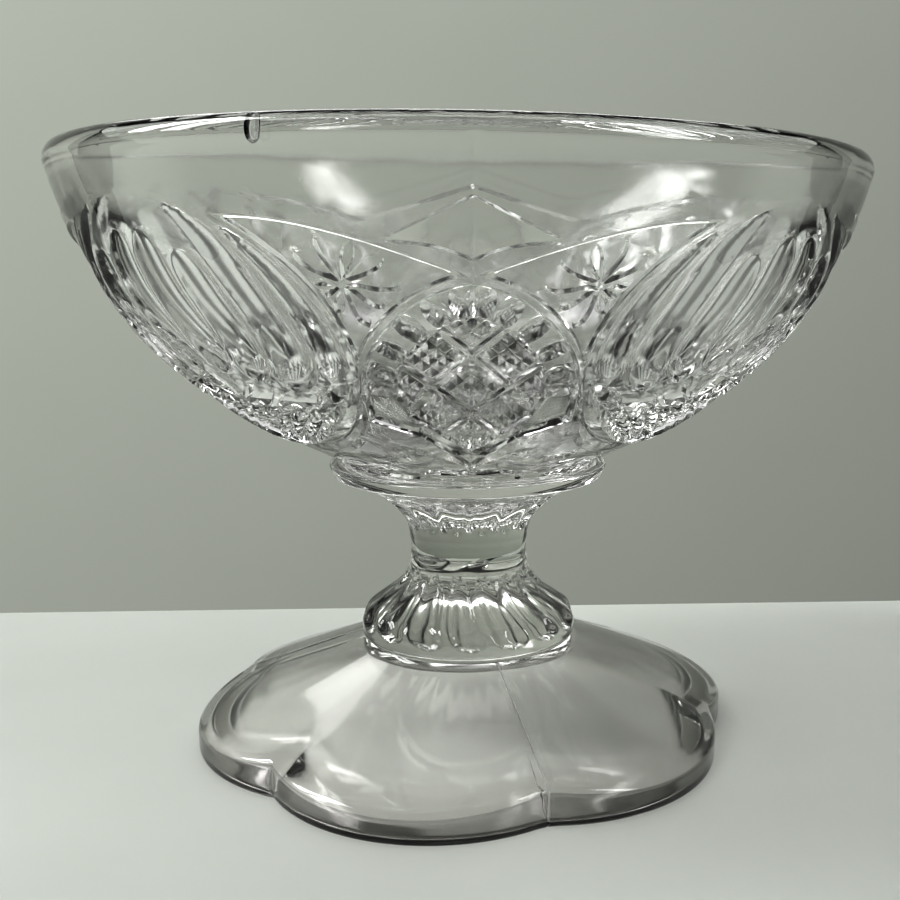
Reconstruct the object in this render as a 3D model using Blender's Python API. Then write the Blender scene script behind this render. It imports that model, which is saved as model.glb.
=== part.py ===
"""Footed sherbet dish of clear pressed glass.

Three hot-joined members: a patterned bowl, a stem with a fluted collar and a six-lobed hollow foot.
The dish stands on Z = 0 with its axis on Z. A medallion of the bowl faces -Y.
"""
import math

import bmesh
import bpy
from mathutils import Vector
from mathutils.geometry import delaunay_2d_cdt

MM = 0.001

# Bowl
RIM_RADIUS = 51.0 * MM
RIM_HEIGHT = 76.5 * MM
RIM_WALL = 3.2 * MM             # thickness of the glass at the rim
BAND_HEIGHT = 8.7 * MM          # tapered upper wall, from the rim down to the curved lower wall
BAND_TAPER = 1.8 * MM           # how far it narrows on the way down
WAIST_RADIUS = 16.6 * MM        # narrowest place under the bowl, just above the ledge
WAIST_HEIGHT = 37.7 * MM
WALL_BULGE = 4.0 * MM           # how far the curved lower wall stands out from its chord
BOWL_FLOOR = 6.5 * MM           # glass from the waist up to the lowest point inside

# Ledge under the bowl
LEDGE_OVERHANG = 2.1 * MM       # how far it stands out past the waist
LEDGE_THICKNESS = 1.7 * MM
LEDGE_DROP = 0.6 * MM           # from the waist down to the ledge's upper edge
LEDGE_UNDERCUT = 0.8 * MM       # the lower edge stands in by this much

# Pattern pressed into the bowl, measured up the wall from the waist, or down from the plain band
REPEATS = 4                     # medallions, with one shell panel between each two
PLAIN_BAND = 5.9 * MM           # smooth band under the rim
PANEL_BEVEL = 0.7 * MM          # width of the sloping edge of every panel
STRAP_WIDTH = 1.5 * MM          # smooth straps left standing between the panels
SHELL_FOOT = 10.4 * MM          # lowest point of a shell panel
SHELL_HALF_ANGLE = 27.3         # degrees
SHELL_FLUTES = 8
FLUTE_DEPTH = 1.0 * MM
FLUTE_FOOT = 28.0 * MM          # where the flutes end and the diamond points begin
DIAMOND_PITCH = 3.6 * MM
DIAMOND_FLOOR = 1.2 * MM        # depth of the valleys between the diamond points
DIAMOND_RISE = 0.7 * MM
MEDALLION_TOP = 9.2 * MM        # below the plain band
MEDALLION_SPRING = 21.9 * MM    # where the arch meets the upright sides
MEDALLION_HALF_ANGLE = 17.4     # degrees, at the springing
MEDALLION_CORNER_ANGLE = 19.2   # degrees, at the lower corner
MEDALLION_CORNER = 19.1 * MM
MEDALLION_POINT = 9.2 * MM      # lowest point of the medallion
MEDALLION_DEPTH = 1.2 * MM
ARCH_ROUNDNESS = 1.75           # 2 is an ellipse, 1 is a straight gable
VEE_ROUNDNESS = 0.55            # 1 is a straight V
LATTICE_PITCH = 11.6 * MM       # along the wall
LATTICE_ANGLE = 12.0            # degrees round the wall
LATTICE_NODE = 20.1 * MM        # a crossing on the centre line
LATTICE_HALF_WIDTH = 1.2 * MM   # along the wall
LATTICE_RISE = 0.7 * MM
BAR_POINT = 8.2 * MM            # lower edge of the flat bars under the medallion, on its centre line
BAR_CORNER = 14.4 * MM          # the same under the medallion's corner
LEAF_FOOT = 5.6 * MM            # lowest line of the leaf panels under the bars
KITE_TOP = 1.0 * MM             # below the plain band
KITE_MIDDLE = 4.6 * MM
KITE_FOOT = 6.9 * MM
KITE_HALF_ANGLE = 9.5           # degrees
KITE_RISE = 0.5 * MM            # the middle ridge stands above the kite's floor
STAR_TOP = 8.0 * MM             # start of the star panel's upper edge, below the plain band
STAR_TOP_RISE = 6.1 * MM        # how far that edge climbs from the medallion's centre line
STAR_TOP_ANGLE = 28.0           # degrees, where it is highest
SMALL_PANEL_DEPTH = 0.6 * MM    # star, kite and leaf panels

# Stem
STEM_FLUTES = 16                # panels of the cone under the bowl, and flutes of the collar
CALYX_HEIGHT = 6.4 * MM         # cone under the bowl
CALYX_HOLLOW = 1.0 * MM         # how far it curves in
CALYX_PANEL_DEPTH = 0.45 * MM
NECK_TOP_RADIUS = 8.4 * MM
NECK_FOOT_RADIUS = 8.2 * MM
NECK_HOLLOW = 0.35 * MM         # how far the plain neck curves in
FLARE_HEIGHT = 5.8 * MM         # from the neck down to the collar's edge
FLARE_HOLLOW = 0.7 * MM         # how far it curves in
COLLAR_RADIUS = 14.6 * MM
COLLAR_HEIGHT = 3.5 * MM        # upright edge of the collar
COLLAR_FLUTE_DEPTH = 0.55 * MM
COLLAR_TWIST = 12.0             # degrees, from the neck down to the collar's edge
COLLAR_EDGE = 0.4 * MM          # bevel of the collar's lower edge

# Foot
FOOT_LOBES = 6
FOOT_TURN = 15.0                # degrees from a medallion's centre line to a notch
FOOT_HEIGHT = 12.8 * MM         # up to the flat seat under the collar
SEAT_INSET = 1.2 * MM           # from the collar's edge in to the seat's edge
LOBE_REACH = 36.5 * MM          # axis to the outermost point of a lobe
NOTCH_DEPTH = 3.1 * MM          # how far a notch lies inside the lobes' reach
FOOT_EDGE_HEIGHT = 3.6 * MM     # height of the sloping top over the outermost point of a lobe
FOOT_ROUND = 2.6 * MM           # rounding of the sloping top into the upright edge
FOOT_ROUND_DROP = 1.3 * MM      # its reach down the upright edge
FOOT_HEEL = 0.5 * MM            # small bevel at the table
FOOT_RING = 3.2 * MM            # width of the flat ring that the dish stands on
FOOT_CROWN = 4.2 * MM           # glass between the seat and the hollow
HOLLOW_POWER = 1.7              # 2 is a parabola, 1 is a cone

JOINT_GAP = 0.3 * MM            # between members

# Fineness of the facets
BOWL_COLUMNS = 64
WALL_FACETS = 24
RIM_FACETS = 6
INSIDE_FACETS = 10
SHELL_FLUTE_FACETS = 4
LINE_STEP = 2.0 * MM            # along the pattern's lines
ON_LINE = 0.15 * MM             # points this near to a border lie on it
GROUND_STEP = 5.0 * MM          # over the smooth places
DIAMOND_MARGIN = 1.0 * MM       # between a shell panel's border and the outer diamond points
CLOSEST = 0.05 * MM             # flat points nearer than this are one point
WELD = 0.0005 * MM              # seams are closed within this distance
STEM_FLUTE_FACETS = 4
CALYX_FACETS = 6
NECK_FACETS = 4
FLARE_FACETS = 6
LOBE_FACETS = 10
FOOT_FACETS = 4
HOLLOW_FACETS = 7
CREASE_ANGLE = 25.0             # degrees, sharper edges are not shaded smooth

SECTOR = 180.0 / REPEATS        # degrees from a medallion's centre line to a shell's
LEDGE_RADIUS = WAIST_RADIUS + LEDGE_OVERHANG
LEDGE_HEIGHT = WAIST_HEIGHT - LEDGE_DROP - LEDGE_THICKNESS
LEDGE_FOOT_RADIUS = LEDGE_RADIUS - LEDGE_UNDERCUT
COLLAR_FOOT_HEIGHT = FOOT_HEIGHT + JOINT_GAP
FOOT_SEAT_RADIUS = COLLAR_RADIUS - SEAT_INSET


def around(radius, angle, height):
    """Point at an angle in degrees from -Y towards +X."""
    turn = math.radians(angle)
    return Vector((radius * math.sin(turn), -radius * math.cos(turn), height))


def clamp(value):
    return min(1.0, max(0.0, value))


def scoop(share):
    """Hollow between two ridges, 0 on the ridges and 1 in the middle."""
    return 4 * share * (1 - share)


def bow(start, end, bulge, steps):
    """Points of an arc between two (radius, height) points, bulging to the right of the way."""
    start = Vector(start)
    end = Vector(end)
    chord = end - start
    half = chord.length / 2
    radius = (half * half + bulge * bulge) / (2 * bulge)
    along = chord.normalized()
    right = Vector((along.y, -along.x))
    centre = (start + end) / 2 + right * (bulge - radius)
    sweep = math.atan2(half, radius - bulge)
    points = []
    for step in range(steps + 1):
        turn = sweep * (2 * step / steps - 1)
        points.append(centre + right * radius * math.cos(turn) + along * radius * math.sin(turn))
    return points


class Wall:
    """Plain outside of the bowl, from the waist up to the rim's rounding."""

    def __init__(self):
        waist = (WAIST_RADIUS, WAIST_HEIGHT)
        turn = (RIM_RADIUS - BAND_TAPER, RIM_HEIGHT - BAND_HEIGHT)
        rim = Vector((RIM_RADIUS, RIM_HEIGHT - RIM_WALL / 2))
        self.points = bow(waist, turn, WALL_BULGE, WALL_FACETS) + [rim]
        self.reach = [0.0]
        for low, high in zip(self.points, self.points[1:]):
            self.reach.append(self.reach[-1] + (high - low).length)
        self.length = self.reach[-1]

    def at(self, along):
        """(radius, height) and outward direction at a distance up the wall."""
        last = len(self.reach) - 2
        index = 0
        while index < last and self.reach[index + 1] < along:
            index += 1
        low = self.points[index]
        step = self.points[index + 1] - low
        place = low + step * ((along - self.reach[index]) / step.length)
        return place, Vector((step.y, -step.x)).normalized()


WALL = Wall()
PATTERN_TOP = WALL.length + RIM_WALL / 2 - PLAIN_BAND
SHELL_MIDDLE = (SHELL_FOOT + PATTERN_TOP) / 2
SHELL_HALF_HEIGHT = (PATTERN_TOP - SHELL_FOOT) / 2
ARCH_HEIGHT = PATTERN_TOP - MEDALLION_TOP - MEDALLION_SPRING


def arc_length(angle, along):
    """Length round the wall that an angle in degrees spans."""
    return math.radians(angle) * WALL.at(along)[0].x


# Each panel has an edge function: the distance inside its border, negative outside it

def shell_edge(angle, along):
    across = (SECTOR - angle) / SHELL_HALF_ANGLE
    up = (along - SHELL_MIDDLE) / SHELL_HALF_HEIGHT
    return (1 - math.hypot(across, up)) * SHELL_HALF_HEIGHT


def arch_edge(angle, along):
    if along < MEDALLION_SPRING:
        drop = (MEDALLION_SPRING - along) / (MEDALLION_SPRING - MEDALLION_CORNER)
        limit = MEDALLION_HALF_ANGLE + (MEDALLION_CORNER_ANGLE - MEDALLION_HALF_ANGLE) * drop
        return arc_length(limit - angle, along)
    across = angle / MEDALLION_HALF_ANGLE
    up = (along - MEDALLION_SPRING) / ARCH_HEIGHT
    size = (across ** ARCH_ROUNDNESS + up ** ARCH_ROUNDNESS) ** (1 / ARCH_ROUNDNESS)
    return (1 - size) * ARCH_HEIGHT


def vee(angle):
    """Height of the medallion's lower edge."""
    rise = MEDALLION_CORNER - MEDALLION_POINT
    return MEDALLION_POINT + rise * (angle / MEDALLION_CORNER_ANGLE) ** VEE_ROUNDNESS


def medallion_edge(angle, along):
    return min(arch_edge(angle, along), along - vee(angle))


def star_top(angle):
    """Height of a star panel's upper edge."""
    climb = math.sin(math.pi / 2 * clamp(angle / STAR_TOP_ANGLE))
    return PATTERN_TOP - STAR_TOP + STAR_TOP_RISE * climb


def star_edge(angle, along):
    neighbour = max(arch_edge(angle, along), shell_edge(angle, along))
    return min(-neighbour - STRAP_WIDTH, star_top(angle) - along, along - MEDALLION_SPRING)


def bar_foot(angle):
    """Height of the lower edge of the bars under the medallion."""
    return BAR_POINT + (BAR_CORNER - BAR_POINT) * angle / MEDALLION_CORNER_ANGLE


def leaf_edge(angle, along):
    return min(bar_foot(angle) - along, -shell_edge(angle, along) - STRAP_WIDTH, along - LEAF_FOOT)


def kite_top(angle):
    return PATTERN_TOP - KITE_TOP - (KITE_MIDDLE - KITE_TOP) * angle / KITE_HALF_ANGLE


def kite_foot(angle):
    return PATTERN_TOP - KITE_FOOT + (KITE_FOOT - KITE_MIDDLE) * angle / KITE_HALF_ANGLE


def kite_edge(angle, along):
    return min(kite_top(angle) - along, along - kite_foot(angle))


# Each panel has a depth function: how far its floor lies under the plain wall

def shell_width(along):
    """Half the angle that a shell panel spans at a height."""
    up = (along - SHELL_MIDDLE) / SHELL_HALF_HEIGHT
    return SHELL_HALF_ANGLE * math.sqrt(max(0.0, 1 - up * up))


def diamond(angle, along):
    """Height of the diamond points, 0 in the valleys and 1 on the peaks."""
    across = arc_length(SECTOR - angle, along)
    first = (along + across) / DIAMOND_PITCH % 1.0
    second = (along - across) / DIAMOND_PITCH % 1.0
    return 2 * min(first, 1 - first, second, 1 - second)


def shell_depth(angle, along):
    edge = clamp(shell_edge(angle, along) / PANEL_BEVEL)
    if edge == 0.0:
        return 0.0
    width = shell_width(along)
    place = (SECTOR - angle) / width * SHELL_FLUTES / 2 % 1.0
    flute = FLUTE_DEPTH * scoop(place) * width / SHELL_HALF_ANGLE
    points = DIAMOND_FLOOR - DIAMOND_RISE * diamond(angle, along)
    below = clamp((FLUTE_FOOT - along) / PANEL_BEVEL)
    return edge * (flute + (points - flute) * below)


def lattice(angle, along):
    """Height of the lattice straps across a medallion, 1 on their crests."""
    up = (along - LATTICE_NODE) / LATTICE_PITCH
    across = angle / LATTICE_ANGLE
    nearest = min(abs(line - round(line)) for line in (up + across, up - across))
    return clamp(1 - nearest * LATTICE_PITCH / LATTICE_HALF_WIDTH)


def medallion_depth(angle, along):
    edge = clamp(medallion_edge(angle, along) / PANEL_BEVEL)
    return edge * (MEDALLION_DEPTH - LATTICE_RISE * lattice(angle, along))


def kite_depth(angle, along):
    edge = clamp(kite_edge(angle, along) / PANEL_BEVEL)
    return edge * (SMALL_PANEL_DEPTH - KITE_RISE * clamp(1 - angle / KITE_HALF_ANGLE))


def small_panel_depth(edge):
    return SMALL_PANEL_DEPTH * clamp(edge / PANEL_BEVEL)


def relief(angle, along):
    return max(
        shell_depth(angle, along),
        medallion_depth(angle, along),
        kite_depth(angle, along),
        small_panel_depth(star_edge(angle, along)),
        small_panel_depth(leaf_edge(angle, along)),
    )


# Lines that the facets of the pattern follow, as (angle, distance up the wall)

def oval_line(inset):
    """Border of half a shell panel, moved inwards."""
    size = 1 - inset / SHELL_HALF_HEIGHT
    steps = math.ceil(math.pi * SHELL_HALF_HEIGHT / LINE_STEP)
    line = []
    for step in range(steps + 1):
        turn = math.pi * step / steps
        angle = SECTOR - SHELL_HALF_ANGLE * size * math.sin(turn)
        line.append((angle, SHELL_MIDDLE + SHELL_HALF_HEIGHT * size * math.cos(turn)))
    return line


def arch_line(inset):
    """Half of a medallion's arch, moved inwards."""
    size = 1 - inset / ARCH_HEIGHT
    power = 2 / ARCH_ROUNDNESS
    steps = math.ceil(2 * ARCH_HEIGHT / LINE_STEP)
    line = []
    for step in range(steps + 1):
        turn = math.pi / 2 * step / steps
        angle = MEDALLION_HALF_ANGLE * size * math.sin(turn) ** power
        line.append((angle, MEDALLION_SPRING + ARCH_HEIGHT * size * abs(math.cos(turn)) ** power))
    return line


def graph_line(height, first, last):
    """Line whose height is a function of the angle."""
    steps = math.ceil(arc_length(last - first, SHELL_MIDDLE) / LINE_STEP)
    angles = [first + (last - first) * step / steps for step in range(steps + 1)]
    return [(angle, height(angle)) for angle in angles]


def flute_line(place):
    """Line up a flute, at a share of the shell panel's half width."""
    length = PATTERN_TOP - FLUTE_FOOT
    steps = math.ceil(length / LINE_STEP / 2)
    heights = [FLUTE_FOOT + length * step / steps for step in range(steps)]
    return [(SECTOR - place * shell_width(along), along) for along in heights]


def runs(line, belongs):
    """Stretches of a line whose points belong to a panel."""
    kept = [[]]
    for spot in line:
        if belongs(*spot):
            kept[-1].append(spot)
        else:
            kept.append([])
    return [run for run in kept if len(run) > 1]


def inside(line, edge):
    """Stretches of a line that lie inside a panel."""
    return runs(line, lambda angle, along: edge(angle, along) > 0)


def on_border(line, edge, inset):
    """Stretches of a line that lie on a panel's border, moved inwards."""
    return runs(line, lambda angle, along: abs(edge(angle, along) - inset) < ON_LINE)


def shell_lines():
    lines = [oval_line(0.0), oval_line(PANEL_BEVEL)]
    steps = SHELL_FLUTES // 2 * SHELL_FLUTE_FACETS
    for step in range(steps):
        lines += inside(flute_line(step / steps), shell_edge)
    for height in (FLUTE_FOOT, FLUTE_FOOT - PANEL_BEVEL):
        level = graph_line(lambda angle: height, SECTOR - SHELL_HALF_ANGLE, SECTOR)
        lines += inside(level, shell_edge)
    return lines


def diamond_lines():
    """Valleys between the diamond points, then the points' peaks."""
    half = DIAMOND_PITCH / 2
    spots = {}
    for row in range(math.ceil(FLUTE_FOOT / half)):
        along = row * half
        for column in range(math.ceil(arc_length(SHELL_HALF_ANGLE, along) / half)):
            angle = SECTOR - math.degrees(column * half / WALL.at(along)[0].x)
            if min(shell_edge(angle, along), FLUTE_FOOT - along) > DIAMOND_MARGIN:
                spots[row, column] = (angle, along)
    valleys = []
    for row, column in spots:
        for side in (column - 1, column + 1):
            if (row + column) % 2 == 0 and (row + 1, side) in spots:
                valleys.append([spots[row, column], spots[row + 1, side]])
    peaks = [spots[place] for place in spots if sum(place) % 2]
    return valleys, peaks


def medallion_lines():
    lines = []
    for inset in (0.0, PANEL_BEVEL):
        lower = graph_line(lambda angle: vee(angle) + inset, 0.0, MEDALLION_CORNER_ANGLE)
        lines += on_border(arch_line(inset), medallion_edge, inset)
        lines += on_border(lower, medallion_edge, inset)
    reach = math.ceil(WALL.length / LATTICE_PITCH)
    slope = LATTICE_PITCH / LATTICE_ANGLE
    for count in range(-reach, reach + 1):
        for side in (-LATTICE_HALF_WIDTH, 0.0, LATTICE_HALF_WIDTH):
            node = LATTICE_NODE + count * LATTICE_PITCH + side
            for way in (-slope, slope):
                strap = graph_line(lambda angle: node + way * angle, 0.0, MEDALLION_CORNER_ANGLE)
                lines += inside(strap, medallion_edge)
    return lines


def small_panel_lines():
    lines = []
    for inset in (0.0, PANEL_BEVEL):
        borders = (
            (kite_edge, lambda angle: kite_top(angle) - inset),
            (kite_edge, lambda angle: kite_foot(angle) + inset),
            (star_edge, lambda angle: star_top(angle) - inset),
            (leaf_edge, lambda angle: bar_foot(angle) - inset),
            (leaf_edge, lambda angle: LEAF_FOOT + inset),
        )
        for edge, height in borders:
            lines += on_border(graph_line(height, 0.0, SECTOR), edge, inset)
        lines += on_border(arch_line(-STRAP_WIDTH - inset), star_edge, inset)
        lines += on_border(oval_line(-STRAP_WIDTH - inset), star_edge, inset)
        lines += on_border(oval_line(-STRAP_WIDTH - inset), leaf_edge, inset)
    return lines


def border_lines():
    """The four sides of half a repeat, with one point for each column at the top and bottom."""
    columns = BOWL_COLUMNS // (2 * REPEATS)
    angles = [SECTOR * column / columns for column in range(columns + 1)]
    rows = [[(angle, along) for angle in angles] for along in (0.0, WALL.length)]
    sides = [[(angle, 0.0), (angle, WALL.length)] for angle in (0.0, SECTOR)]
    return rows + sides


def unrolled(angle, along):
    """Flat place of a point of the wall, in millimetres."""
    radius = (RIM_RADIUS + WAIST_RADIUS) / 2
    return Vector((math.radians(angle) * radius, along)) / MM


def rolled(place):
    """Angle and distance up the wall of a flat place."""
    radius = (RIM_RADIUS + WAIST_RADIUS) / 2
    return math.degrees(place.x * MM / radius), place.y * MM


def ground_spots(taken):
    """Points over the smooth places, away from the points that are taken."""
    spots = []
    rows = math.ceil(WALL.length / GROUND_STEP)
    columns = BOWL_COLUMNS // (2 * REPEATS)
    for row in range(1, rows):
        for column in range(columns + 1):
            spot = (SECTOR * column / columns, WALL.length * row / rows)
            flat = unrolled(*spot)
            if min((flat - place).length for place in taken) * MM > LINE_STEP:
                spots.append(spot)
    return spots


def half_repeat():
    """Facets of the wall from a medallion's centre line to a shell panel's."""
    valleys, peaks = diamond_lines()
    lines = border_lines() + shell_lines() + valleys + medallion_lines() + small_panel_lines()
    places = []
    edges = []
    for line in lines:
        edges += [(len(places) + step, len(places) + step + 1) for step in range(len(line) - 1)]
        places += [unrolled(*spot) for spot in line]
    places += [unrolled(*spot) for spot in peaks]
    places += [unrolled(*spot) for spot in ground_spots(places)]
    found = delaunay_2d_cdt(places, edges, [], 1, CLOSEST / MM)
    return [rolled(place) for place in found[0]], found[2]


def pressed(angle, along, middle):
    """Point of the pressed wall, at an angle from a medallion whose own angle is the middle."""
    place, outward = WALL.at(along)
    place = place - outward * relief(abs(angle), along)
    return around(place.x, middle + angle, place.y)


def add_pressed_wall(bm):
    spots, facets = half_repeat()
    spots = [(min(SECTOR, max(0.0, angle)), along) for angle, along in spots]
    for repeat in range(REPEATS):
        middle = 2 * SECTOR * repeat
        for side in (1, -1):
            corners = [bm.verts.new(pressed(side * angle, along, middle)) for angle, along in spots]
            for facet in facets:
                bm.faces.new([corners[index] for index in facet])


def add_turned(bm, profile, columns):
    """Turned surface of a (radius, height) profile, sharing the bowl's columns."""
    corners = [bm.verts.new(around(radius, 0.0, height)) for radius, height in profile]
    edges = [bm.edges.new(pair) for pair in zip(corners, corners[1:])]
    bmesh.ops.spin(bm, geom=corners + edges, cent=(0, 0, 0), axis=(0, 0, 1),
                   angle=2 * math.pi, steps=columns, use_merge=True)


def bowl_rim_and_inside():
    """Profile over the rim and down the inside to the axis."""
    round_radius = RIM_WALL / 2
    centre = RIM_HEIGHT - round_radius
    lowest = WAIST_HEIGHT + BOWL_FLOOR
    profile = []
    for step in range(RIM_FACETS):
        turn = math.pi * step / RIM_FACETS
        radius = RIM_RADIUS - round_radius + round_radius * math.cos(turn)
        profile.append((radius, centre + round_radius * math.sin(turn)))
    for step in range(INSIDE_FACETS):
        turn = math.pi / 2 * step / INSIDE_FACETS
        radius = (RIM_RADIUS - RIM_WALL) * math.cos(turn)
        profile.append((radius, centre - (centre - lowest) * math.sin(turn)))
    return profile + [(0.0, lowest)]


def ledge():
    """Profile from the waist over the ledge to the axis."""
    return [
        (WAIST_RADIUS, WAIST_HEIGHT),
        (LEDGE_RADIUS, WAIST_HEIGHT - LEDGE_DROP),
        (LEDGE_FOOT_RADIUS, LEDGE_HEIGHT),
        (0.0, LEDGE_HEIGHT),
    ]


def make_bowl():
    bm = bmesh.new()
    add_pressed_wall(bm)
    add_turned(bm, bowl_rim_and_inside(), BOWL_COLUMNS)
    add_turned(bm, ledge(), BOWL_COLUMNS)
    return finished(bm, "bowl")


def add_loft(bm, rings):
    """Surface through closed rings of points, with both ends closed by a point on the axis."""
    loops = [[bm.verts.new(point) for point in ring] for ring in rings]
    count = len(loops[0])
    for upper, lower in zip(loops, loops[1:]):
        for index in range(count):
            following = (index + 1) % count
            bm.faces.new((upper[index], upper[following], lower[following], lower[index]))
    for loop in (loops[0], loops[-1]):
        middle = bm.verts.new((0.0, 0.0, loop[0].co.z))
        for index in range(count):
            bm.faces.new((loop[index], loop[(index + 1) % count], middle))


def stem_ring(radius, height, depth=0.0, twist=0.0):
    """Ring of the stem, with hollows of a depth all round and turned by a twist."""
    columns = STEM_FLUTES * STEM_FLUTE_FACETS
    ring = []
    for column in range(columns):
        inward = depth * scoop(column % STEM_FLUTE_FACETS / STEM_FLUTE_FACETS)
        ring.append(around(radius - inward, 360.0 * column / columns + twist, height))
    return ring


def make_stem():
    rings = []
    top = Vector((LEDGE_FOOT_RADIUS, LEDGE_HEIGHT - JOINT_GAP))
    neck_top = (NECK_TOP_RADIUS, top.y - CALYX_HEIGHT)
    collar_top = (COLLAR_RADIUS, COLLAR_FOOT_HEIGHT + COLLAR_HEIGHT)
    neck_foot = (NECK_FOOT_RADIUS, collar_top[1] + FLARE_HEIGHT)
    calyx = bow(top, neck_top, CALYX_HOLLOW, CALYX_FACETS)
    for step, place in enumerate(calyx):
        rings.append(stem_ring(*place, CALYX_PANEL_DEPTH * scoop(step / CALYX_FACETS)))
    neck = bow(neck_top, neck_foot, NECK_HOLLOW, NECK_FACETS)
    for place in neck[1:-1]:
        rings.append(stem_ring(*place))
    flare = bow(neck_foot, collar_top, FLARE_HOLLOW, FLARE_FACETS)
    for step, place in enumerate(flare):
        share = step / FLARE_FACETS
        depth = COLLAR_FLUTE_DEPTH * math.sin(math.pi / 2 * share)
        rings.append(stem_ring(*place, depth, COLLAR_TWIST * share))
    lower_edge = COLLAR_FOOT_HEIGHT + COLLAR_EDGE
    rings.append(stem_ring(COLLAR_RADIUS, lower_edge, twist=COLLAR_TWIST))
    rings.append(stem_ring(COLLAR_RADIUS - COLLAR_EDGE, COLLAR_FOOT_HEIGHT, twist=COLLAR_TWIST))
    bm = bmesh.new()
    add_loft(bm, rings)
    return finished(bm, "stem")


def foot_reach(angle):
    """Axis to the foot's lobed edge, at an angle from the middle of a lobe in degrees."""
    half = math.pi / FOOT_LOBES
    notch = LOBE_REACH - NOTCH_DEPTH
    rise = LOBE_REACH - notch * math.cos(half)
    half_chord = notch * math.sin(half)
    radius = (half_chord * half_chord + rise * rise) / (2 * rise)
    centre = LOBE_REACH - radius
    turn = math.radians(angle)
    return centre * math.cos(turn) + math.sqrt(radius * radius - (centre * math.sin(turn)) ** 2)


def foot_section(reach):
    """(radius, height) points from the seat over the edge and under the foot, for one reach."""
    slope = (FOOT_HEIGHT - FOOT_EDGE_HEIGHT) / (LOBE_REACH - FOOT_SEAT_RADIUS)
    edge = FOOT_HEIGHT - slope * (reach - FOOT_SEAT_RADIUS)
    section = []
    for step in range(FOOT_FACETS):
        radius = FOOT_SEAT_RADIUS + (reach - FOOT_ROUND - FOOT_SEAT_RADIUS) * step / FOOT_FACETS
        section.append((radius, FOOT_HEIGHT - slope * (radius - FOOT_SEAT_RADIUS)))
    start = Vector((reach - FOOT_ROUND, edge + slope * FOOT_ROUND))
    corner = Vector((reach, edge))
    end = Vector((reach, edge - FOOT_ROUND_DROP))
    for step in range(FOOT_FACETS + 1):
        share = step / FOOT_FACETS
        section.append(start.lerp(corner, share).lerp(corner.lerp(end, share), share))
    section.append((reach, FOOT_HEEL))
    section.append((reach - FOOT_HEEL, 0.0))
    inner = reach - FOOT_HEEL - FOOT_RING
    hollow = FOOT_HEIGHT - FOOT_CROWN
    for step in range(HOLLOW_FACETS):
        share = 1 - step / HOLLOW_FACETS
        section.append((inner * share, hollow * (1 - share ** HOLLOW_POWER)))
    return section


def make_foot():
    columns = FOOT_LOBES * LOBE_FACETS
    lobe = 360.0 / FOOT_LOBES
    sections = []
    for column in range(columns):
        angle = lobe * (column % LOBE_FACETS / LOBE_FACETS - 0.5)
        turn = FOOT_TURN + lobe * column / LOBE_FACETS
        section = foot_section(foot_reach(angle))
        sections.append([around(radius, turn, height) for radius, height in section])
    bm = bmesh.new()
    add_loft(bm, list(zip(*sections)))
    return finished(bm, "foot")


def finished(bm, name):
    """Object of a closed mesh, shaded smooth but for its creases."""
    bmesh.ops.remove_doubles(bm, verts=bm.verts[:], dist=WELD)
    bmesh.ops.recalc_face_normals(bm, faces=bm.faces[:])
    mesh = bpy.data.meshes.new(name)
    bm.to_mesh(mesh)
    bm.free()
    mesh.shade_smooth()
    mesh.set_sharp_from_angle(angle=math.radians(CREASE_ANGLE))
    piece = bpy.data.objects.new(name, mesh)
    bpy.context.collection.objects.link(piece)
    return piece


def clear_glass(name, colour):
    material = bpy.data.materials.new(name)
    material.use_nodes = True
    shader = material.node_tree.nodes["Principled BSDF"]
    shader.inputs["Base Color"].default_value = (*colour, 1.0)
    shader.inputs["Roughness"].default_value = 0.03
    shader.inputs["Metallic"].default_value = 0.0
    shader.inputs["IOR"].default_value = 1.52
    shader.inputs["Transmission Weight"].default_value = 1.0
    return material


for old in list(bpy.data.objects):
    bpy.data.objects.remove(old)

make_bowl().data.materials.append(clear_glass("bowl_glass", (0.93, 0.94, 0.93)))
make_stem().data.materials.append(clear_glass("stem_glass", (0.92, 0.93, 0.92)))
make_foot().data.materials.append(clear_glass("foot_glass", (0.90, 0.90, 0.89)))
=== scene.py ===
import math

import bmesh
import bpy
import numpy as np
from mathutils import Matrix, Vector
from mathutils.geometry import delaunay_2d_cdt
from mathutils.kdtree import KDTree


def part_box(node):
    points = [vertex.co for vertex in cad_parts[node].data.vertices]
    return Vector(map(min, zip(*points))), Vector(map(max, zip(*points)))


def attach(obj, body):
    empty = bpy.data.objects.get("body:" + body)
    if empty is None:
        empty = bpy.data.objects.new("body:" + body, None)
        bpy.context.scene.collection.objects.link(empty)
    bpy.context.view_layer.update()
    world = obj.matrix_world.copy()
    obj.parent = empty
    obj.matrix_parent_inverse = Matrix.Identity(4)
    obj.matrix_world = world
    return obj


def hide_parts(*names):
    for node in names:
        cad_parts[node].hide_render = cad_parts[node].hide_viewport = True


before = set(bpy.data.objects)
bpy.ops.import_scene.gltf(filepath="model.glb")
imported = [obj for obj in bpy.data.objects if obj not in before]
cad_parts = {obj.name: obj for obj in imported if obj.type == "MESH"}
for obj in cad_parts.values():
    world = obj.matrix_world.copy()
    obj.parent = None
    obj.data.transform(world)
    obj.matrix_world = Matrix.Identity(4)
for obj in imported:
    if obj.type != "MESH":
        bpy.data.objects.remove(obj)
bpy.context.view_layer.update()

# lengths are in millimetres until a point is placed; turns are degrees from -Y towards +X
mm = 0.001
tiny = 0.001                    # lengths and shares below this count as nothing
weld = 0.0005 * mm              # points nearer than this become one
jointSlot, insideSlot, edgeSlot, seamSlot = 1, 2, 3, 4      # places in a piece's list of materials
bowlLow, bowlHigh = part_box("bowl")
stemLow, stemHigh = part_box("stem")
footLow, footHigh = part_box("foot")
upperJoint = (bowlLow[2] + stemHigh[2]) / 2 / mm      # the members are fused at these heights
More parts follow.
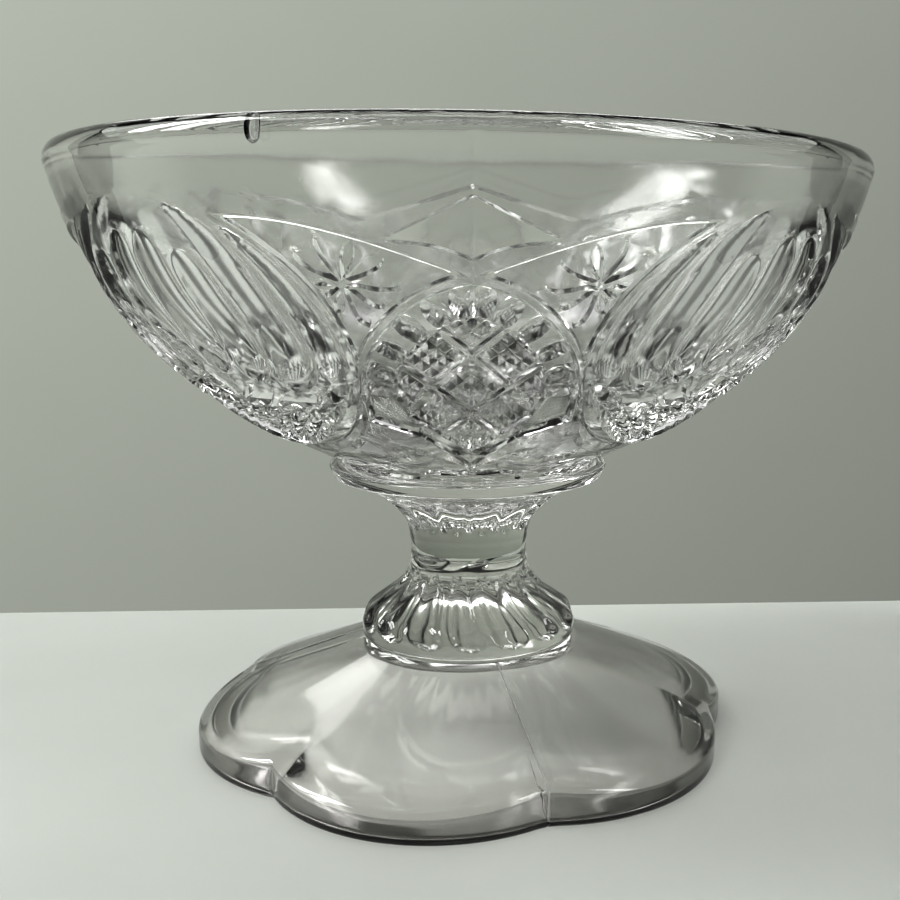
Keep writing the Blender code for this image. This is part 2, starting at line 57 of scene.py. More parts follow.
lowerJoint = (stemLow[2] + footHigh[2]) / 2 / mm


def placed(radius, turn, height):
    angle = math.radians(turn)
    return Vector((radius * math.sin(angle), -radius * math.cos(angle), height)) * mm


def limited(value):
    return np.clip(value, 0.0, 1.0)


def soft(value):
    share = limited(value)
    return share * share * (3 - 2 * share)


def arcBetween(start, end, bulge, steps):
    # arc between two (radius, height) points, bulging to the right of the way
    start = Vector(start)
    end = Vector(end)
    half = (end - start).length / 2
    radius = (half * half + bulge * bulge) / (2 * bulge)
    along = (end - start).normalized()
    right = Vector((along.y, -along.x))
    centre = (start + end) / 2 + right * (bulge - radius)
    sweep = math.atan2(half, radius - bulge)
    turns = [sweep * (2 * step / steps - 1) for step in range(steps + 1)]
    return [centre + right * radius * math.cos(turn) + along * radius * math.sin(turn) for turn in turns]


def bend(start, corner, end, steps):
    # soft turn round a corner
    start, corner, end = Vector(start), Vector(corner), Vector(end)
    shares = [step / steps for step in range(steps + 1)]
    return [start.lerp(corner, share).lerp(corner.lerp(end, share), share) for share in shares]


def turned(bm, profile, columns):
    # full turn of a (radius, height) profile; every vertex keeps the row of the profile it came from
    row = bm.verts.layers.int.get("row") or bm.verts.layers.int.new("row")
    verts = []
    for index, (radius, height) in enumerate(profile):
        verts.append(bm.verts.new(placed(radius, 0.0, height)))
        verts[-1][row] = index
    edges = [bm.edges.new(pair) for pair in zip(verts, verts[1:])]
    bmesh.ops.spin(bm, geom=verts + edges, cent=(0, 0, 0), axis=(0, 0, 1),
                   angle=2 * math.pi, steps=columns, use_merge=True)
    return row


def asObject(bm, name, materials):
    mesh = bpy.data.meshes.new(name)
    bm.to_mesh(mesh)
    bm.free()
    for material in materials:
        mesh.materials.append(material)
    piece = bpy.data.objects.new(name, mesh)
    bpy.context.scene.collection.objects.link(piece)
    return piece


# an edge is drawn sharp from these angles on: anywhere, and on a line of the pattern
creases = {"plain": 38.0, "line": 9.0}


def finishedGlass(bm, name, materials, jointHeights, addHollow=None):
    # closes the mesh, gives the fused faces the joint material and makes the object
    bmesh.ops.remove_doubles(bm, verts=bm.verts[:], dist=weld)
    bmesh.ops.recalc_face_normals(bm, faces=bm.faces[:])
    for face in bm.faces:
        heights = [vert.co.z / mm for vert in face.verts]
        for joint in jointHeights:
            if max(abs(height - joint) for height in heights) < tiny:
                face.material_index = jointSlot
        face.smooth = True
    for edge in bm.edges:
        limit = creases["plain" if edge.smooth else "line"]     # the pattern's lines come in marked
        edge.smooth = math.degrees(edge.calc_face_angle(0.0)) < limit
    if addHollow:
        addHollow(bm)
    piece = asObject(bm, name, materials)
    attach(piece, "root")
    print(name, len(piece.data.polygons), "faces")
    return piece


# the bowl's wall, from the waist up to the rim
bowl = {
    "rimRadius": bowlHigh[0] / mm,
    "rimHeight": bowlHigh[2] / mm,
    "rimWall": 3.2, "rimRound": 2.1,
    "insideLean": 17.5,         # of the inside at the rim
    "bandHeight": 8.7,          # tapered band under the rim
    "bandTaper": 1.8,
    "waist": (16.6, 37.7),
    "bulge": 4.0,               # of the curved wall under the band
    "softTurn": 4.5,            # reach of the turn from the band to the curved wall
    "floor": 6.5,               # glass under the lowest point inside
    "columns": 256,
    "bulgeRows": 120, "softRows": 24, "rimRows": 14, "insideRows": 44,
}
repeats = 4                     # medallions, with a shell after each
sector = 180 / repeats          # from a medallion's middle to a shell's middle


def wallCurve():
    rim = (bowl["rimRadius"], bowl["rimHeight"] - bowl["rimRound"])
    corner = Vector((bowl["rimRadius"] - bowl["bandTaper"], bowl["rimHeight"] - bowl["bandHeight"]))
    arc = arcBetween(bowl["waist"], corner, bowl["bulge"], bowl["bulgeRows"])
    lower = [point for point in arc if (point - corner).length > bowl["softTurn"]]
    upper = corner + (Vector(rim) - corner).normalized() * bowl["softTurn"]
    turn = bend(lower[-1], corner, upper, bowl["softRows"])
    points = np.array(lower + turn[1:] + [Vector(rim)])
    reach = np.concatenate(([0.0], np.cumsum(np.hypot(*np.diff(points, axis=0).T))))
    way = np.gradient(points, reach, axis=0)
    way /= np.linalg.norm(way, axis=1)[:, None]
    return {"reach": reach, "radius": points[:, 0], "height": points[:, 1],
            "outX": way[:, 1], "outZ": -way[:, 0]}


wall = wallCurve()
wallTop = wall["reach"][-1]


def onWall(name, up):
    return np.interp(up, wall["reach"], wall[name])


def across(turn, up):
    return np.radians(turn) * onWall("radius", up)


# pattern pressed into the wall: heights run up the wall from the waist
band = {"peak": 47.7, "dip": 3.5, "dipTurn": 12.0, "dipRound": 0.02, "climb": 8.5,
        "step": -0.2, "slope": 0.35,
        "fade": (14.0, 30.0)}          # turns over which the step dies away
shell = {
    "foot": 10.4, "top": 48.0, "halfTurn": 27.8,
    "raise": 1.1, "shoulder": (1.7, 4.2),   # stands out from the wall by a slope, wider at the top
    "fade": (48.0, 12.0),                   # the raise is gone at this height, over this length
    "bevel": 0.8,
    "ridges": (0.0, 0.28, 0.56, 0.84),      # shares of the half width, from the middle outwards
    "ridgeHalf": 0.32, "leastHalf": 0.01,   # half a ridge, and the least half of a flute in degrees
    "flutes": ((26.5, 43.8), (25.2, 41.8), (24.0, 46.2), (25.6, 44.0)),     # lower and upper ends
    "fluteCap": 3.2,                        # length of the flutes' round ends
    "fluteDepth": 1.2, "fullHalf": 2.0,     # full depth, from this half width on
    "fluteLip": 0.004,                      # softens the flutes' edges
    "widest": 31.6,                         # below this the ridges draw together
    "gather": (22.4, 12.2, 2.5),            # where they would meet: innermost, drop outwards, its power
    "feetDepth": 0.45, "feetGap": 0.3, "feetBevel": 0.5,
    "beltTop": (21.0, 25.2),                # diamond points under the inner and the outermost flutes
    "beltBorder": (0.9, 0.8),               # smooth border beside the belt, and extra at the bottom
    "beltWiden": (24.0, 8.0),               # the extra starts at this height and grows over this length
    "beltDepth": 1.3, "beltBevel": 0.7, "pointRise": 0.8,
    "pointPitch": (4.6, 2.4),               # degrees and millimetres
}
medallion = {
    "top": 37.9, "spring": 21.9, "halfTurn": 18.0, "arch": 1.57,
    "corner": (19.4, 17.9), "knee": (10.8, 15.0), "point": 6.2,
    "bevel": 0.3, "ringDepth": 0.65, "ringWidth": 4.2,
    "beadHalf": 0.16, "beadRise": 0.09,     # bead along the border
    "fieldDepth": 1.0, "fieldBevel": 0.3, "fieldMargin": 0.5,
    "fieldCut": ((16.6, 22.8), (11.5, 17.6)),
    "lattice": (12.4, 10.2), "node": 18.2,  # degrees and millimetres between crossings
    "strapHalf": 0.42, "strapBevel": 0.16, "strapRise": 0.4,
    "points": 4, "pointRise": 0.65, "pointMargin": 0.12,    # margin as a share of a lattice cell
    "prints": 6, "printSize": (1.3, 2.3), "printDepth": 1.0, "printInset": 2.2,
    "printSpread": (0.55, 0.1),             # first place and spare room at the end, in spacings
}
star = {
    "topStart": 38.5, "topRise": 6.3, "topTurn": 28.0,
    "strap": 1.2, "shellStrap": 0.3,        # left plain beside the medallion and beside the shell
    "depth": 0.25, "bevel": 0.22, "beadHalf": 0.13, "beadRise": 0.06,
    "centre": (15.5, 37.8), "petals": 10, "petalTurn": 2.0, "petalDepth": 0.4, "petalBevel": 0.25,
    "petalReach": 0.92, "petalLongest": 5.4, "petalWidth": 0.145, "petalWidest": 1.0,
    "petalStart": 0.3, "petalSteps": 120, "petalRoom": 0.6,     # search for the border, from the centre
}
kite = {"top": 46.9, "corner": (11.1, 42.3), "foot": 40.5, "sag": 2.7, "lean": 0.3, "bevel": 0.22,
        "ridgeTurn": 4.6, "rise": 0.1, "leastSpan": 0.01}
bars = {"point": 4.6, "knee": (11.0, 11.0), "end": (25.0, 14.6), "underShell": 2.0, "strap": 0.35,
        "top": 19.0, "depth": 0.6, "bevel": 0.3, "leastSpan": 0.05}
leaf = {"strap": 1.0, "foot": 2.0, "depth": 0.5, "bevel": 0.7, "turn": 21.8, "halfTurn": 12.0, "ridge": 0.45}
seam = {"half": 0.2, "rise": 0.07}


def bandLine(turn):
    near = 1 - turn / band["dipTurn"]
    far = 1 - np.exp(-(turn - band["dipTurn"]) / band["climb"])
    rise = np.where(turn < band["dipTurn"], near, far)
    return band["peak"] - band["dip"] * (1 - np.sqrt(rise * rise + band["dipRound"]))


shellMiddle = (shell["foot"] + shell["top"]) / 2
shellHalf = shell["top"] - shellMiddle


def ovalWidth(up):
    rise = (up - shellMiddle) / shellHalf
    return shell["halfTurn"] * np.sqrt(limited(1 - rise * rise))


def shellEdge(turn, up):
    # each edge gives the distance inside a panel's border, negative outside it
    aside = (sector - turn) / shell["halfTurn"]
    return (1 - np.hypot(aside, (up - shellMiddle) / shellHalf)) * shellHalf


def shellFoot(turn):
    aside = (sector - turn) / shell["halfTurn"]
    return shellMiddle - (shellMiddle - shell["foot"]) * np.sqrt(limited(1 - aside * aside))


def ridgeTurn(place, up):
    start, fall, power = shell["gather"]
    gather = start - fall * place ** power
    drop = (shell["widest"] - up) / (shell["widest"] - gather)
    lower = ovalWidth(shell["widest"]) * np.sqrt(limited(1 - drop * drop))
    return sector - place * np.where(up < shell["widest"], lower, ovalWidth(up))


def fluteSpan(index, up):
    # middle and half width of a flute in degrees, between two ridges
    ridges = shell["ridges"]
    margin = np.degrees(shell["ridgeHalf"] / onWall("radius", up))
    right = ridgeTurn(ridges[index], up) - margin
    if index + 1 < len(ridges):
        left = ridgeTurn(ridges[index + 1], up) + margin
    else:
        left = sector - ovalWidth(up) + 2 * margin
    return (left + right) / 2, np.maximum((right - left) / 2, shell["leastHalf"])


def fluteShape(index, turn, up):
    # 1 on a flute's middle line, 0 on its edge; how far its round ends have narrowed it; half width
    low, high = shell["flutes"][index]
    cap = shell["fluteCap"]
    middle, half = fluteSpan(index, up)
    upper = limited((up - high + cap) / cap)
    lower = limited((low + cap - up) / cap)
    narrowing = np.sqrt(limited(1 - upper * upper) * limited(1 - lower * lower))
    aside = np.abs(turn - middle) / half
    return 1 - (aside / np.maximum(narrowing, tiny)) ** 2, narrowing, across(half, up)


def fluteDepth(index, turn, up):
    shape, narrowing, half = fluteShape(index, turn, up)
    depth = shell["fluteDepth"] * narrowing * np.minimum(1, half / shell["fullHalf"])
    hollow = np.maximum(depth * shape, -1.0)
    lip = shell["fluteLip"]
    return (hollow + np.sqrt(hollow * hollow + lip)) / 2 - lip / 4


def feetEdge(index, turn, up):
    middle, half = fluteSpan(index, up)
    side = across(half - np.abs(turn - middle), up)
    top = shell["flutes"][index][0] - shell["feetGap"]
    return np.minimum(np.minimum(side, top - up), up - shell["beltTop"][0])


def beltEdge(turn, up):
    outer = turn < ridgeTurn(shell["ridges"][-1], up)
    top = np.where(outer, shell["beltTop"][1], shell["beltTop"][0])
    start, length = shell["beltWiden"]
    border = shell["beltBorder"][0] + shell["beltBorder"][1] * limited((start - up) / length)
    return np.minimum(shellEdge(turn, up) - border, top - up)


def diamondHeight(first, second):
    first, second = first % 1.0, second % 1.0
    return 2 * np.minimum(np.minimum(first, 1 - first), np.minimum(second, 1 - second))


def pointLines(turn, up):
    aside = (sector - turn) / shell["pointPitch"][0]
    rise = up / shell["pointPitch"][1]
    return rise + aside, rise - aside


def shellDepth(turn, up):
    depth = np.zeros_like(turn)
    for index in range(len(shell["flutes"])):
        depth = np.maximum(depth, fluteDepth(index, turn, up))
        feet = soft(feetEdge(index, turn, up) / shell["feetBevel"])
        depth = np.maximum(depth, shell["feetDepth"] * feet)
    points = shell["beltDepth"] - shell["pointRise"] * diamondHeight(*pointLines(turn, up))
    depth = np.maximum(depth, points * limited(beltEdge(turn, up) / shell["beltBevel"]))
    return depth * soft(shellEdge(turn, up) / shell["bevel"])


def shoulderWidth(up):
    low, high = shell["shoulder"]
    return low + (high - low) * soft((up - shell["foot"]) / (shell["top"] - shell["foot"]))


def shellRaise(turn, up):
    fade = soft((shell["fade"][0] - up) / shell["fade"][1])
    return shell["raise"] * fade * limited(shellEdge(turn, up) / shoulderWidth(up))


def archEdge(turn, up):
    spring = medallion["spring"]
    drop = (spring - up) / (spring - medallion["corner"][1])
    limit = medallion["halfTurn"] + (medallion["corner"][0] - medallion["halfTurn"]) * drop
    side = across(limit - turn, up)
    height = medallion["top"] - spring
    power = medallion["arch"]
    size = ((turn / medallion["halfTurn"]) ** power + (np.maximum(up - spring, 0) / height) ** power)
    return np.where(up < spring, side, (1 - size ** (1 / power)) * height)


def veeLine(turn):
    turns, ups = zip((0.0, medallion["point"]), medallion["knee"], medallion["corner"])
    return np.interp(turn, turns, ups)


def medallionEdge(turn, up):
    return np.minimum(archEdge(turn, up), up - veeLine(turn))


def fieldEdge(turn, up):
    # field of small pyramids inside the ring of thumbprints
    high, low = medallion["fieldCut"]
    first = Vector((across(high[0], high[1]), high[1]))
    second = Vector((across(low[0], low[1]), low[1]))
    way = (second - first).normalized()
    cut = (across(turn, up) - first.x) * way.y - (up - first.y) * way.x
    above = up - veeLine(turn) - medallion["fieldMargin"]
    inner = np.minimum(archEdge(turn, up) - medallion["ringWidth"], above)
    return np.minimum(inner, cut)


def latticeLines(turn, up):
    rise = (up - medallion["node"]) / medallion["lattice"][1]
    aside = turn / medallion["lattice"][0]
    return rise + aside, rise - aside


def strapDistance(turn, up):
    # from the nearest line of the lattice, across it
    rise, width = medallion["lattice"][1], across(medallion["lattice"][0], up)
    lines = latticeLines(turn, up)
    nearest = np.minimum(*[np.abs(line - np.round(line)) for line in lines])
    return nearest / np.hypot(1 / rise, 1 / width)


def pointEdge(turn, up):
    # inside the cluster of points of each lattice cell; the two places count points along the cell
    margin = medallion["pointMargin"]
    shares = [line % 1.0 for line in latticeLines(turn, up)]
    edges = [np.minimum(share, 1 - share) - margin for share in shares]
    places = [(share - margin) / (1 - 2 * margin) * medallion["points"] for share in shares]
    return np.minimum(*edges), places


def borderBead(edge, panel):
    # fine bead just outside a panel's border
    half = panel["beadHalf"]
    return panel["beadRise"] * limited(1 - ((edge + half) / half) ** 2)


def printSpots():
    # thumbprints along the inside of the arch, evenly spread
    power = 2 / medallion["arch"]
    height = medallion["top"] - medallion["spring"]
    size = 1 - medallion["printInset"] / height
    first, spare = medallion["printSpread"]
    spots = []
    for index in range(medallion["prints"]):
        angle = math.pi / 2 * (index + first) / (medallion["prints"] + spare)
        turn = medallion["halfTurn"] * size * math.sin(angle) ** power
        spots.append((turn, medallion["spring"] + height * size * math.cos(angle) ** power, angle))
    return spots


def printEdge(spot, turn, up):
    middleTurn, middleUp, lean = spot
    x = across(turn - middleTurn, up)
    y = up - middleUp
    along = x * math.sin(lean) + y * math.cos(lean)
    aside = x * math.cos(lean) - y * math.sin(lean)
    wide, long = medallion["printSize"]
    return 1 - np.hypot(aside / wide, along / long)


def medallionDepth(turn, up):
    ring = medallion["ringDepth"] * soft(medallionEdge(turn, up) / medallion["bevel"])
    for spot in printSpots():
        hollow = limited(printEdge(spot, turn, up))
        ring = ring + medallion["printDepth"] * (1 - (1 - hollow) ** 2) * (ring > 0)
    inCluster, places = pointEdge(turn, up)
    points = medallion["pointRise"] * diamondHeight(*places) * (inCluster > 0)
    inStrap = medallion["strapHalf"] - strapDistance(turn, up)
    strap = medallion["strapRise"] * limited(inStrap / medallion["strapBevel"])
    field = medallion["fieldDepth"] - np.maximum(points, strap)
    inside = soft(fieldEdge(turn, up) / medallion["fieldBevel"])
    return ring + (field - ring) * inside - borderBead(medallionEdge(turn, up), medallion)


def starTop(turn):
    return star["topStart"] + star["topRise"] * np.sin(np.pi / 2 * limited(turn / star["topTurn"]))


def starEdge(turn, up):
    side = np.minimum(-archEdge(turn, up) - star["strap"], -shellEdge(turn, up) - star["shellStrap"])
    return np.minimum(np.minimum(side, starTop(turn) - up), up - medallion["spring"])


def petalReach(angle):
    # from the star's centre to the panel's border, in a direction
    steps = np.linspace(star["petalStart"], star["petalLongest"] / star["petalReach"], star["petalSteps"])
    turn, up = star["centre"]
    ups = up + steps * math.sin(angle)
    turns = turn + np.degrees(steps * math.cos(angle) / onWall("radius", ups))
    inside = starEdge(turns, ups) > star["bevel"] * star["petalRoom"]
    return star["petalReach"] * steps[inside.argmin() if not inside.all() else -1]


petals = []
for index in range(star["petals"]):
    angle = math.radians(star["petalTurn"] + 360 / star["petals"] * index)
    petals.append((angle, petalReach(angle)))


def petalEdge(petal, turn, up):
    angle, reach = petal
    x = across(turn - star["centre"][0], up)
    y = up - star["centre"][1]
    share = limited((x * math.cos(angle) + y * math.sin(angle)) / reach)
    aside = np.abs(y * math.cos(angle) - x * math.sin(angle))
    widest = min(star["petalWidest"], star["petalWidth"] * reach)
    return 2 * widest * share * np.sqrt(1 - share * share) - aside


def starDepth(turn, up):
    depth = star["depth"] * soft(starEdge(turn, up) / star["bevel"])
    for petal in petals:
        edge = petalEdge(petal, turn, up)
        hollow = star["petalDepth"] * limited(edge / star["petalBevel"])
        depth = np.maximum(depth, (star["depth"] + hollow) * (edge > 0))
    return depth - borderBead(starEdge(turn, up), star)


def kiteSpan(turn):
    share = limited(turn / kite["corner"][0])
    top = kite["top"] - (kite["top"] - kite["corner"][1]) * share
    return kite["corner"][1] - (kite["corner"][1] - kite["foot"]) * (1 - share) ** kite["sag"], top


def kiteEdge(turn, up):
    low, top = kiteSpan(turn)
    return np.where(turn < kite["corner"][0], np.minimum(top - up, up - low), -1.0)


def kiteDepth(turn, up):
    # the facet leans: proud of the wall at its top, sunk at its foot
    low, top = kiteSpan(turn)
    lean = kite["lean"] * (1 - 2 * limited((up - low) / np.maximum(top - low, kite["leastSpan"])))
    ridge = kite["rise"] * limited(1 - turn / kite["ridgeTurn"])
    return (lean - ridge) * soft(kiteEdge(turn, up) / kite["bevel"])


def barFoot(turn):
    turns, ups = zip((0.0, bars["point"]), bars["knee"], bars["end"])
    return np.minimum(np.interp(turn, turns, ups), shellFoot(turn) - bars["underShell"])


def barEdges(turn, up):
    # distances from a bar's upper border and from its lower border
    neighbour = np.maximum(medallionEdge(turn, up), shellEdge(turn, up))
    return np.minimum(-neighbour - bars["strap"], bars["top"] - up), up - barFoot(turn)


def barDepth(turn, up):
    upper, lower = barEdges(turn, up)
    share = limited(lower / np.maximum(upper + lower, bars["leastSpan"]))
    return bars["depth"] * share * limited(upper / bars["bevel"]) * (lower > 0)


def leafEdge(turn, up):
    return np.minimum(barFoot(turn) - leaf["strap"] - up, up - leaf["foot"])


def leafDepth(turn, up):
    ridge = leaf["ridge"] * limited(1 - np.abs(turn - leaf["turn"]) / leaf["halfTurn"])
    return (leaf["depth"] - ridge) * soft(leafEdge(turn, up) / leaf["bevel"])


def relief(turn, up):
    # depth of the pressed surface under the plain wall; the panels don't overlap
    start, end = band["fade"]
    depth = band["step"] * soft((bandLine(turn) - up) / band["slope"]) * soft((end - turn) / (end - start))
    panels = medallionDepth(turn, up) + starDepth(turn, up) + shellDepth(turn, up)
    panels = panels + kiteDepth(turn, up) + barDepth(turn, up) + leafDepth(turn, up)
    ridge = seam["rise"] * soft(1 - across(turn, up) / seam["half"]) * limited(wallTop - up)
    return depth + panels - ridge - shellRaise(turn, up)


# facets of the pattern: lines that they follow, then points over what lies between
facets = {
    "turnStep": 0.5, "upStep": 0.4,         # grid that the lines are found on
    "plainStride": 3, "sideStride": 2,      # grid steps between points on plain glass, and up the sides
    "clearance": 0.24, "merge": 0.06, "snap": 0.02,     # between points, and to the sides in degrees
    "curl": 0.008,                          # where the glass bends more, every grid point is kept
    "longest": 1.5, "bow": 0.01,            # what one straight stretch of a line may take
    # further lines beside the borders, and how far the lines reach
    "shellLine": 0.15, "shellReach": -0.2, "fluteLevels": (-0.12, 0.06, 0.3), "fluteEnd": 0.02,
    "printLevel": 0.4, "clusterReach": -0.03,
}
flatRadius = 34.0               # the wall is unrolled at this radius


def flat(turn, up):
    return np.stack((np.radians(turn) * flatRadius, up), axis=-1)


def patternLines(turn, up):
    # every line is where its values change sign, kept where the mask holds
    everywhere = np.ones(turn.shape, bool)
    lines = []

    def add(values, *levels, mask=everywhere, crisp=True):
        lines.extend((values - level, mask, crisp) for level in levels)

    def addPoints(first, second, mask):
        for line in (first, second, first + second, first - second):
            add(np.sin(np.pi * line), 0.0, mask=mask)

    add(bandLine(turn) - up, 0.0, band["slope"])
    edge = shellEdge(turn, up)
    add(edge, 0.0, facets["shellLine"], shell["bevel"] / 2, shell["bevel"], crisp=False)
    add(edge - shoulderWidth(up), 0.0)
    for index in range(len(shell["flutes"])):
        shape, narrowing, half = fluteShape(index, turn, up)
        isOpen = narrowing > facets["fluteEnd"]
        inside = shape * isOpen - ~isOpen
        add(inside, *facets["fluteLevels"], mask=edge > facets["shellReach"], crisp=False)
        add(feetEdge(index, turn, up), 0.0, shell["feetBevel"], mask=edge > 0)
    belt = beltEdge(turn, up)
    add(belt, 0.0, shell["beltBevel"])
    addPoints(*pointLines(turn, up), belt > 0)
    rim = medallionEdge(turn, up)
    half = medallion["beadHalf"]
    add(rim, -2 * half, -half, 0.0, medallion["bevel"] / 2, medallion["bevel"])
    field = fieldEdge(turn, up)
    add(field, 0.0, medallion["fieldBevel"])
    for spot in printSpots():
        inRing = (rim > 0) & (field < medallion["fieldBevel"])
        add(printEdge(spot, turn, up), 0.0, mask=inRing)
        add(printEdge(spot, turn, up), facets["printLevel"], mask=inRing, crisp=False)
    distance = strapDistance(turn, up)
    add(distance, medallion["strapHalf"], medallion["strapHalf"] - medallion["strapBevel"], mask=field > 0)
    inCluster, places = pointEdge(turn, up)
    addPoints(*places, (field > 0) & (inCluster > facets["clusterReach"]))
    edge = starEdge(turn, up)
    add(edge, -2 * star["beadHalf"], -star["beadHalf"], 0.0, star["bevel"])
    for petal in petals:
        add(petalEdge(petal, turn, up), 0.0, star["petalBevel"], mask=edge > 0)
    edge = kiteEdge(turn, up)
    add(edge, 0.0, kite["bevel"])
    add(turn - kite["ridgeTurn"], 0.0, mask=edge > 0)
    upper, lower = barEdges(turn, up)
    add(np.minimum(upper, lower), 0.0, bars["bevel"])
    edge = leafEdge(turn, up)
    add(edge, 0.0, leaf["bevel"])
    add(turn - leaf["turn"], 0.0, mask=edge > 0)
    add(across(turn, up) - seam["half"], 0.0, crisp=False)
    return lines


def crossings(values, mask, turns, ups):
    # joins the sign changes on a grid's edges, cell by cell
    sign = values > 0
    mixed = sign[:-1, :-1].astype(int) + sign[1:, :-1] + sign[:-1, 1:] + sign[1:, 1:]
    wanted = (mixed > 0) & (mixed < 4) & mask[:-1, :-1] & mask[1:, 1:] & mask[1:, :-1] & mask[:-1, 1:]
    points = {}
    segments = []
    for row, column in zip(*np.nonzero(wanted)):
        corners = ((row, column), (row, column + 1), (row + 1, column + 1), (row + 1, column))
        found = []
        for start, end in zip(corners, corners[1:] + corners[:1]):
            if sign[start] == sign[end]:
                continue
            low, high = min(start, end), max(start, end)
            share = values[low] / (values[low] - values[high])
            points[low, high] = [grid[low] + (grid[high] - grid[low]) * share for grid in (turns, ups)]
            found.append((low, high))
        segments.extend(zip(found[::2], found[1::2]))
    return straightened(points, segments)


def straightened(points, segments):
    # leaves out points on the straight stretches of a line
    places = {key: flat(*place) for key, place in points.items()}
    beside = {key: [] for key in points}
    for start, end in segments:
        beside[start].append(end)
        beside[end].append(start)
    for key in points:
        if len(beside[key]) != 2:
            continue
        first, second = beside[key]
        chord = places[second] - places[first]
        apart = places[key] - places[first]
        length = np.hypot(*chord)
        bow = abs(chord[0] * apart[1] - chord[1] * apart[0])
        if length > facets["longest"] or bow > facets["bow"] * length:
            continue
        beside[first][beside[first].index(key)] = second
        beside[second][beside[second].index(key)] = first
        del beside[key]
    kept = {key: points[key] for key in beside}
    return kept, [(key, end) for key, ends in beside.items() for end in ends if key < end]


def halfRepeat():
    columns = round(sector / facets["turnStep"])
    rows = round(wallTop / facets["upStep"])
    ups, turns = np.meshgrid(np.linspace(0, wallTop, rows + 1), np.linspace(0, sector, columns + 1),
                             indexing="ij")
    spots = []
    edges = []
    crisp = []
    for values, mask, isCrisp in patternLines(turns, ups):
        points, segments = crossings(values, mask, turns, ups)
        order = {key: len(spots) + index for index, key in enumerate(points)}
        spots.extend(points.values())
        edges.extend((order[start], order[end]) for start, end in segments)
        crisp.extend([isCrisp] * len(segments))
    print("pattern lines", len(spots), "points")

    def addChain(places):
        start = len(spots)
        spots.extend(places)
        edges.extend((index, index + 1) for index in range(start, len(spots) - 1))

    sides = bowl["columns"] // (2 * repeats)
    for up in (0.0, wallTop):
        addChain((sector * step / sides, up) for step in range(sides + 1))
    sideRows = rows // facets["sideStride"]
    for turn in (0.0, sector):
        addChain((turn, up) for up in np.linspace(0, wallTop, sideRows + 1))
    tree = KDTree(len(spots))
    for index, (x, y) in enumerate(flat(*np.array(spots).T)):
        tree.insert((x, y, 0), index)
    tree.balance()
    depth = relief(turns, ups)
    curl = np.zeros(depth.shape)
    curl[1:-1, 1:-1] = np.abs(depth[2:, 1:-1] + depth[:-2, 1:-1] + depth[1:-1, 2:] + depth[1:-1, :-2]
                              - 4 * depth[1:-1, 1:-1])
    faceted = (fieldEdge(turns, ups) > 0) | (beltEdge(turns, ups) > 0)
    curved = (curl > facets["curl"]) & ~faceted
    stride = facets["plainStride"]
    for row in range(1, rows):
        for column in range(1, columns):
            if not curved[row, column] and (row % stride or column % stride):
                continue
            spot = (turns[row, column], ups[row, column])
            if tree.find((*flat(*spot), 0))[2] > facets["clearance"]:
                spots.append(spot)
    places = [Vector(place) for place in flat(*np.array(spots).T)]
    insideOnly = 1                          # nothing outside the border is kept
    found = delaunay_2d_cdt(places, edges, [], insideOnly, facets["merge"])
    turn = np.degrees(np.array([place.x for place in found[0]]) / flatRadius)
    up = np.array([place.y for place in found[0]])
    for border in (0.0, sector):
        turn[np.abs(turn - border) < facets["snap"]] = border
    print("half a repeat", len(turn), "points", len(found[2]), "facets")
    marked = {index for index, isCrisp in enumerate(crisp) if isCrisp}
    lines = [line for line, origin in zip(found[1], found[4]) if marked.intersection(origin)]
    return turn, up, found[2], lines


def pressedWall():
    # one half repeat, mirrored and turned round the bowl
    bm = bmesh.new()
    turn, up, triangles, lines = halfRepeat()
    depth = relief(turn, up)
    radius = onWall("radius", up) - depth * onWall("outX", up)
    height = onWall("height", up) - depth * onWall("outZ", up)
    verts = [bm.verts.new(placed(*place)) for place in zip(radius, turn, height)]
    for triangle in triangles:
        bm.faces.new([verts[index] for index in triangle])
    for start, end in lines:
        edge = bm.edges.get((verts[start], verts[end]))
        if edge:
            edge.smooth = False
    bmesh.ops.mirror(bm, geom=bm.verts[:] + bm.edges[:] + bm.faces[:], matrix=Matrix.Identity(4),
                     merge_dist=tiny * mm, axis="X")
    bmesh.ops.spin(bm, geom=bm.verts[:] + bm.edges[:] + bm.faces[:], cent=(0, 0, 0), axis=(0, 0, 1),
                   angle=math.radians(360 - 2 * sector), steps=repeats - 1, use_duplicate=True)
    mesh = bpy.data.meshes.new("pressedWall")
    bm.to_mesh(mesh)
    bm.free()
    return mesh


def rimAndInside():
    # half an ellipse over the rim, then part of a larger ellipse whose centre lies above the rim
    half = bowl["rimWall"] / 2
    shoulder = bowl["rimHeight"] - bowl["rimRound"]
    lowest = bowl["waist"][1] + bowl["floor"]
    profile = []
    for step in range(bowl["rimRows"]):
        angle = math.pi * step / bowl["rimRows"]
        height = shoulder + bowl["rimRound"] * math.sin(angle)
        profile.append((bowl["rimRadius"] - half + half * math.cos(angle), height))
    mouth = bowl["rimRadius"] - bowl["rimWall"]
    lean = math.tan(math.radians(bowl["insideLean"])) * (shoulder - lowest) / mouth
    above = lean / (1 - lean)
    tall = (shoulder - lowest) / (1 - above)
    wide = mouth / math.sqrt(1 - above * above)
    first = math.asin(above)
    for step in range(bowl["insideRows"]):
        angle = first + (math.pi / 2 - first) * step / bowl["insideRows"]
        profile.append((wide * math.cos(angle), lowest + tall - tall * math.sin(angle)))
    return profile + [(0.0, lowest)]


# bubble caught in the rim
bubble = {"turn": -23.0, "height": 75.05, "half": (0.83, 0.55, 1.25), "subdivisions": 3}


